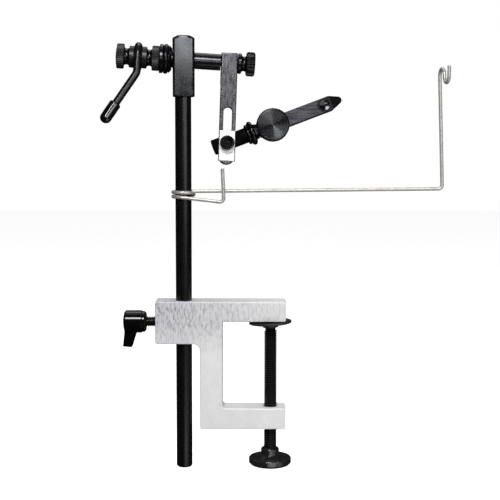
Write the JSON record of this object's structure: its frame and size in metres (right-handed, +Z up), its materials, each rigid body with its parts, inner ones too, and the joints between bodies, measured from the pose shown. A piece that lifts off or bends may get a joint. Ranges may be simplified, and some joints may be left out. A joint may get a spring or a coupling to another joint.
{
  "type": "fly tying vise",
  "caption": "Rotary fly tying vise: C-clamp, tall post, square head with cranked shaft, slotted arm with adjustable hook jaws and a bent-wire bobbin cradle.",
  "frame": {"origin": "on the clamp screw's axis at the underside of the clamp's upper arm, midway through the clamp's depth", "axes": "+Z up along the post, +X from the crank handle towards the jaws, -Y towards the tyer"},
  "size_m": [0.2017, 0.0305, 0.257],
  "materials": {
    "raw_aluminium": "brushed, natural",
    "blackened_steel": "black, satin",
    "dark_steel": "dark grey, brushed",
    "black_nuts": "black, satin",
    "bright_steel": "bright nickel",
    "black_plastic": "gloss black",
    "rubber": "matt black",
    "brass": "plain"
  },
  "bodies": {
    "clamp": {"clamp_frame": "raw_aluminium"},
    "post_lock": {"lock_screw": "blackened_steel", "lock_lever": "black_plastic"},
    "screw_carrier": {"swivel_stud": "blackened_steel"},
    "clamp_screw": {"clamp_screw": "blackened_steel", "clamp_knob": "black_plastic"},
    "clamp_pad": {"clamp_pad": "blackened_steel"},
    "post": {"post": "blackened_steel"},
    "cradle": {"bobbin_cradle": "bright_steel"},
    "head": {"head_block": "dark_steel", "head_set_screw": "blackened_steel", "shaft_bushing": "brass"},
    "rotor": {"rotor_shaft": "blackened_steel", "thrust_disc": "black_nuts", "drag_ring": "rubber", "pressure_disc": "black_nuts", "crank_handle": "blackened_steel", "handle_grip": "black_plastic", "jaw_arm": "dark_steel"},
    "drag_nut": {"drag_nut": "black_nuts"},
    "handle_nut": {"handle_nut": "black_nuts"},
    "arm_thumbscrew": {"arm_thumbscrew": "black_nuts"},
    "saddle": {"slide_plate": "bright_steel", "pivot_screw": "blackened_steel"},
    "jaw": {"jaw_stem": "blackened_steel", "jaw_collar": "blackened_steel", "hinge_pin": "dark_steel", "rear_jaw_bar": "dark_steel", "rear_jaw_tip": "blackened_steel", "rear_tip_screw": "dark_steel", "jaw_spring": "dark_steel"},
    "front_jaw": {"front_jaw_bar": "dark_steel", "front_jaw_tip": "blackened_steel", "front_tip_screw": "dark_steel"},
    "jaw_wheel": {"jaw_wheel": "black_nuts"}
  },
  "joints": [
    {"name": "post_lock_turn", "type": "hinge", "parent": "clamp", "child": "post_lock", "pos_m": [-0.0683, 0, -0.001], "axis": [-1, 0, 0], "range_deg": [0, 300]},
    {"name": "clamp_travel", "type": "slide", "parent": "clamp", "child": "screw_carrier", "axis": [0, 0, 1], "range_m": [-0.044, 0]},
    {"name": "clamp_screw_turn", "type": "hinge", "parent": "screw_carrier", "child": "clamp_screw", "pos_m": [0, 0, -0.088], "axis": [0, 0, 1], "range_deg": [-11226.6, 0]},
    {"name": "pad_tilt", "type": "hinge", "parent": "screw_carrier", "child": "clamp_pad", "pos_m": [0, 0, -0.00285], "axis": [0, 1, 0], "range_deg": [0, 6]},
    {"name": "post_height", "type": "slide", "parent": "clamp", "child": "post", "axis": [0, 0, 1], "range_m": [-0.055, 0.06]},
    {"name": "cradle_swing", "type": "hinge", "parent": "post", "child": "cradle", "pos_m": [-0.0516, 0, 0.07635], "axis": [0, 0, 1], "continuous": true},
    {"name": "head_swivel", "type": "hinge", "parent": "post", "child": "head", "pos_m": [-0.0516, 0, 0.1319], "axis": [0, 0, 1], "continuous": true},
    {"name": "rotary", "type": "hinge", "parent": "head", "child": "rotor", "pos_m": [-0.0512, 0.00002, 0.15335], "axis": [0.9969, 0.0522, -0.0593], "continuous": true},
    {"name": "drag_nut_turn", "type": "hinge", "parent": "rotor", "child": "drag_nut", "pos_m": [-0.07527, -0.00124, 0.15478], "axis": [0.9969, 0.0522, -0.0593], "range_deg": [-360, 360]},
    {"name": "handle_nut_turn", "type": "hinge", "parent": "rotor", "child": "handle_nut", "pos_m": [-0.08983, -0.002, 0.15565], "axis": [0.9969, 0.0522, -0.0593], "range_deg": [0, 360]},
    {"name": "arm_screw_turn", "type": "hinge", "parent": "rotor", "child": "arm_thumbscrew", "pos_m": [-0.02967, 0.00115, 0.15207], "axis": [0.9969, 0.0522, -0.0593], "range_deg": [0, 360]},
    {"name": "jaw_height", "type": "slide", "parent": "rotor", "child": "saddle", "axis": [0.0294, 0.1582, 0.987], "range_m": [-0.002, 0.013]},
    {"name": "jaw_angle", "type": "hinge", "parent": "saddle", "child": "jaw", "pos_m": [-0.02616, -0.00422, 0.10398], "axis": [-0.061, 0.9858, -0.1562], "range_deg": [-10, 22]},
    {"name": "jaw_open", "type": "hinge", "parent": "jaw", "child": "front_jaw", "pos_m": [-0.0103, -0.00206, 0.11142], "axis": [0.3644, -0.1237, -0.923], "range_deg": [0, 3]},
    {"name": "jaw_wheel_turn", "type": "hinge", "parent": "front_jaw", "child": "jaw_wheel", "pos_m": [0.00044, -0.00086, 0.11479], "axis": [0.061, -0.9858, 0.1562], "range_deg": [0, 270]}
  ],
  "couplings": [
    {"joint": "clamp_screw_turn", "follows": "clamp_travel", "rad_per_m": 4453},
    {"joint": "jaw_open", "follows": "jaw_wheel_turn", "ratio": 0.011111}
  ]
}
